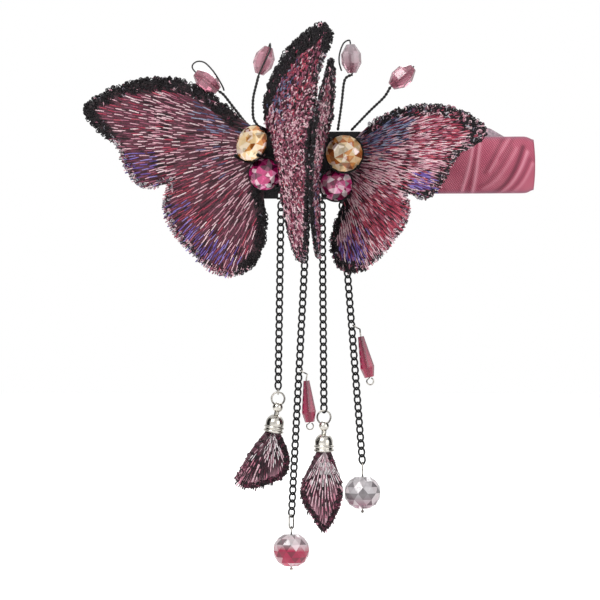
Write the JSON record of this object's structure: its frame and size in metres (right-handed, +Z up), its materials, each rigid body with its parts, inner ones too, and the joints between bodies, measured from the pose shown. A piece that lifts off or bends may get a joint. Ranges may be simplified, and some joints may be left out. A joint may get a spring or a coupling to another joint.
{
  "type": "decorative hair pin",
  "caption": "Duckbill hair clip wrapped in rose ribbon, with embroidered butterflies, crystal stones, beaded wire antennae and hanging chains with tassels and glass beads.",
  "frame": {"origin": "middle of the clip's flat back, which lies on the head, between the mouth and the hinge", "axes": "+Y out of the flat back towards the head, -Y towards the viewer, +X towards the thumb end, +Z up; the chains hang along -Z"},
  "size_m": [0.0967, 0.0369, 0.115],
  "materials": {
    "clip_steel": "nickel-plated spring steel, satin",
    "spring_steel": "drawn spring wire",
    "ribbon": "dusty rose grosgrain ribbon, soft sheen",
    "black_felt": "black felt, matt",
    "embroidery": "dusty pink and wine machine embroidery on organza with a black thread edge",
    "amber_glass": "faceted champagne crystal, foiled back",
    "fuchsia_glass": "faceted fuchsia crystal, foiled back",
    "black_metal": "black oxide plating, semi-gloss",
    "black_wire": "black enamelled wire",
    "mauve_glass": "faceted mauve glass",
    "silver_plate": "bright silver plate",
    "organza": "plum embroidery on pink organza",
    "crimson_glass_two_tone": "faceted glass, clear above and crimson below",
    "plum_glass_two_tone": "faceted glass, clear grey above and faint plum below",
    "crimson_glass": "faceted crimson glass"
  },
  "bodies": {
    "clip_and_butterflies": {"upper_arm": "clip_steel", "hinge_pin": "clip_steel", "torsion_spring": "spring_steel", "ribbon_wrap": "ribbon", "backing_pad": "black_felt", "left_outer_wing": "embroidery", "left_inner_wing": "embroidery", "right_inner_wing": "embroidery", "right_outer_wing": "embroidery", "left_amber_stone": "amber_glass", "left_fuchsia_stone": "fuchsia_glass", "right_amber_stone": "amber_glass", "right_fuchsia_stone": "fuchsia_glass", "left_amber_claw": "black_metal", "left_fuchsia_claw": "black_metal", "right_amber_claw": "black_metal", "right_fuchsia_claw": "black_metal", "antenna_wire_1": "black_wire", "antenna_wire_2": "black_wire", "antenna_wire_3": "black_wire", "antenna_wire_4": "black_wire"},
    "lower_jaw": {"lower_arm": "clip_steel", "spring_lower_leg": "spring_steel"},
    "antenna_bead_1": {"antenna_bead_1": "mauve_glass"},
    "antenna_bead_2": {"antenna_bead_2": "mauve_glass"},
    "antenna_bead_3": {"antenna_bead_3": "mauve_glass"},
    "antenna_bead_4": {"antenna_bead_4": "mauve_glass"},
    "ring_1": {"top_ring_1": "black_metal"},
    "chain_1_upper": {"chain_1_upper": "black_metal"},
    "chain_1_middle": {"chain_1_middle": "black_metal"},
    "chain_1_lower": {"chain_1_lower": "black_metal", "tassel_ring_1": "silver_plate"},
    "ring_2": {"top_ring_2": "black_metal"},
    "chain_2_upper": {"chain_2_upper": "black_metal"},
    "chain_2_middle": {"chain_2_middle": "black_metal"},
    "chain_2_lower": {"chain_2_lower": "black_metal", "bead_link_2": "silver_plate"},
    "ring_3": {"top_ring_3": "black_metal"},
    "chain_3_upper": {"chain_3_upper": "black_metal"},
    "chain_3_middle": {"chain_3_middle": "black_metal"},
    "chain_3_lower": {"chain_3_lower": "black_metal", "tassel_ring_3": "silver_plate"},
    "ring_4": {"top_ring_4": "black_metal"},
    "chain_4_upper": {"chain_4_upper": "black_metal"},
    "chain_4_middle": {"chain_4_middle": "black_metal"},
    "chain_4_lower": {"chain_4_lower": "black_metal"},
    "tassel_1": {"tassel_cap_1": "silver_plate", "petal_1_front": "organza", "petal_1_back": "organza"},
    "tassel_3": {"tassel_cap_3": "silver_plate", "petal_3_front": "organza", "petal_3_back": "organza"},
    "pendant_2": {"bead_pin_2": "silver_plate"},
    "pendant_4": {"bead_link_4": "silver_plate"},
    "rondelle_2": {"rondelle_2": "crimson_glass_two_tone"},
    "rondelle_4": {"rondelle_4": "plum_glass_two_tone"},
    "drop_pin_2": {"drop_pin_2": "silver_plate"},
    "drop_pin_4": {"drop_pin_4": "silver_plate"},
    "drop_2": {"drop_2": "crimson_glass"},
    "drop_4": {"drop_4": "crimson_glass"}
  },
  "joints": [
    {"name": "jaw", "type": "hinge", "parent": "clip_and_butterflies", "child": "lower_jaw", "pos_m": [0.03, -0.0027, 0], "axis": [0, 0, -1], "range_deg": [0, 20], "stiffness_Nm_per_rad": 0.05, "springref_deg": -28.65},
    {"name": "antenna_bead_1_spin", "type": "hinge", "parent": "clip_and_butterflies", "child": "antenna_bead_1", "pos_m": [-0.0266, -0.0053, 0.0181], "axis": [-0.7723, 0, 0.6353], "continuous": true},
    {"name": "antenna_bead_2_spin", "type": "hinge", "parent": "clip_and_butterflies", "child": "antenna_bead_2", "pos_m": [-0.0143, -0.0055, 0.0226], "axis": [0.3312, 0, 0.9435], "continuous": true},
    {"name": "antenna_bead_3_spin", "type": "hinge", "parent": "clip_and_butterflies", "child": "antenna_bead_3", "pos_m": [0.0046, -0.0055, 0.023], "axis": [-0.0599, 0, 0.9982], "continuous": true},
    {"name": "antenna_bead_4_spin", "type": "hinge", "parent": "clip_and_butterflies", "child": "antenna_bead_4", "pos_m": [0.0156, -0.0055, 0.0191], "axis": [0.7507, 0, 0.6606], "continuous": true},
    {"name": "ring_1_swing", "type": "hinge", "parent": "clip_and_butterflies", "child": "ring_1", "pos_m": [-0.0106, -0.0051, -0.0072], "axis": [1, 0, 0], "range_deg": [-8, 10]},
    {"name": "chain_1_sway", "type": "hinge", "parent": "ring_1", "child": "chain_1_upper", "pos_m": [-0.0106, -0.0051, -0.00824], "axis": [0, 1, 0], "range_deg": [-12, 12]},
    {"name": "chain_1_middle_swing", "type": "hinge", "parent": "chain_1_upper", "child": "chain_1_middle", "pos_m": [-0.01088, -0.0051, -0.02607], "axis": [1, 0, 0], "range_deg": [-25, 25]},
    {"name": "chain_1_lower_swing", "type": "hinge", "parent": "chain_1_middle", "child": "chain_1_lower", "pos_m": [-0.01108, -0.0051, -0.03903], "axis": [1, 0, 0], "range_deg": [-25, 25]},
    {"name": "ring_2_swing", "type": "hinge", "parent": "clip_and_butterflies", "child": "ring_2", "pos_m": [-0.0048, -0.0051, -0.0072], "axis": [1, 0, 0], "range_deg": [-8, 10]},
    {"name": "chain_2_sway", "type": "hinge", "parent": "ring_2", "child": "chain_2_upper", "pos_m": [-0.0048, -0.0051, -0.00824], "axis": [0, 1, 0], "range_deg": [-12, 12]},
    {"name": "chain_2_middle_swing", "type": "hinge", "parent": "chain_2_upper", "child": "chain_2_middle", "pos_m": [-0.00573, -0.0051, -0.02605], "axis": [1, 0, 0], "range_deg": [-25, 25]},
    {"name": "chain_2_lower_swing", "type": "hinge", "parent": "chain_2_middle", "child": "chain_2_lower", "pos_m": [-0.00641, -0.0051, -0.03899], "axis": [1, 0, 0], "range_deg": [-25, 25]},
    {"name": "ring_3_swing", "type": "hinge", "parent": "clip_and_butterflies", "child": "ring_3", "pos_m": [-0.0017, -0.0051, -0.0072], "axis": [1, 0, 0], "range_deg": [-8, 10]},
    {"name": "chain_3_sway", "type": "hinge", "parent": "ring_3", "child": "chain_3_upper", "pos_m": [-0.0017, -0.0051, -0.00824], "axis": [0, 1, 0], "range_deg": [-12, 12]},
    {"name": "chain_3_middle_swing", "type": "hinge", "parent": "chain_3_upper", "child": "chain_3_middle", "pos_m": [-0.00154, -0.0051, -0.02607], "axis": [1, 0, 0], "range_deg": [-25, 25]},
    {"name": "chain_3_lower_swing", "type": "hinge", "parent": "chain_3_middle", "child": "chain_3_lower", "pos_m": [-0.00143, -0.0051, -0.03903], "axis": [1, 0, 0], "range_deg": [-25, 25]},
    {"name": "ring_4_swing", "type": "hinge", "parent": "clip_and_butterflies", "child": "ring_4", "pos_m": [0.0026, -0.0051, -0.0072], "axis": [1, 0, 0], "range_deg": [-8, 10]},
    {"name": "chain_4_sway", "type": "hinge", "parent": "ring_4", "child": "chain_4_upper", "pos_m": [0.0026, -0.0051, -0.00824], "axis": [0, 1, 0], "range_deg": [-12, 12]},
    {"name": "chain_4_middle_swing", "type": "hinge", "parent": "chain_4_upper", "child": "chain_4_middle", "pos_m": [0.004, -0.0051, -0.02601], "axis": [1, 0, 0], "range_deg": [-25, 25]},
    {"name": "chain_4_lower_swing", "type": "hinge", "parent": "chain_4_middle", "child": "chain_4_lower", "pos_m": [0.00502, -0.0051, -0.03893], "axis": [1, 0, 0], "range_deg": [-25, 25]},
    {"name": "tassel_1_swing", "type": "hinge", "parent": "chain_1_lower", "child": "tassel_1", "pos_m": [-0.01124, -0.0051, -0.05196], "axis": [1, 0, 0], "range_deg": [-25, 25]},
    {"name": "tassel_3_swing", "type": "hinge", "parent": "chain_3_lower", "child": "tassel_3", "pos_m": [-0.0013, -0.0051, -0.05604], "axis": [1, 0, 0], "range_deg": [-25, 25]},
    {"name": "pendant_2_swing", "type": "hinge", "parent": "chain_2_lower", "child": "pendant_2", "pos_m": [-0.00836, -0.0051, -0.07865], "axis": [1, 0, 0], "range_deg": [-25, 25]},
    {"name": "pendant_4_swing", "type": "hinge", "parent": "chain_4_lower", "child": "pendant_4", "pos_m": [0.00705, -0.0051, -0.06477], "axis": [1, 0, 0], "range_deg": [-25, 25]},
    {"name": "rondelle_2_spin", "type": "hinge", "parent": "pendant_2", "child": "rondelle_2", "pos_m": [-0.00836, -0.0051, -0.08334], "axis": [0, 0, 1], "continuous": true},
    {"name": "rondelle_4_spin", "type": "hinge", "parent": "pendant_4", "child": "rondelle_4", "pos_m": [0.00705, -0.0051, -0.07088], "axis": [0, 0, 1], "continuous": true},
    {"name": "drop_2_swing", "type": "hinge", "parent": "chain_2_lower", "child": "drop_pin_2", "pos_m": [-0.00581, -0.0051, -0.04478], "axis": [1, 0, 0], "range_deg": [-20, 20]},
    {"name": "drop_4_swing", "type": "hinge", "parent": "chain_4_middle", "child": "drop_pin_4", "pos_m": [0.00557, -0.0051, -0.03502], "axis": [1, 0, 0], "range_deg": [-20, 20]},
    {"name": "drop_2_spin", "type": "hinge", "parent": "drop_pin_2", "child": "drop_2", "pos_m": [-0.00511, -0.0051, -0.04665], "axis": [-0.0797, 0, 0.9968], "continuous": true},
    {"name": "drop_4_spin", "type": "hinge", "parent": "drop_pin_4", "child": "drop_4", "pos_m": [0.00667, -0.0051, -0.0371], "axis": [-0.2055, 0, 0.9787], "continuous": true}
  ],
  "couplings": [
    {"joint": "chain_2_sway", "follows": "chain_1_sway", "ratio": 1},
    {"joint": "chain_3_sway", "follows": "chain_1_sway", "ratio": 1},
    {"joint": "chain_4_sway", "follows": "chain_1_sway", "ratio": 1}
  ]
}
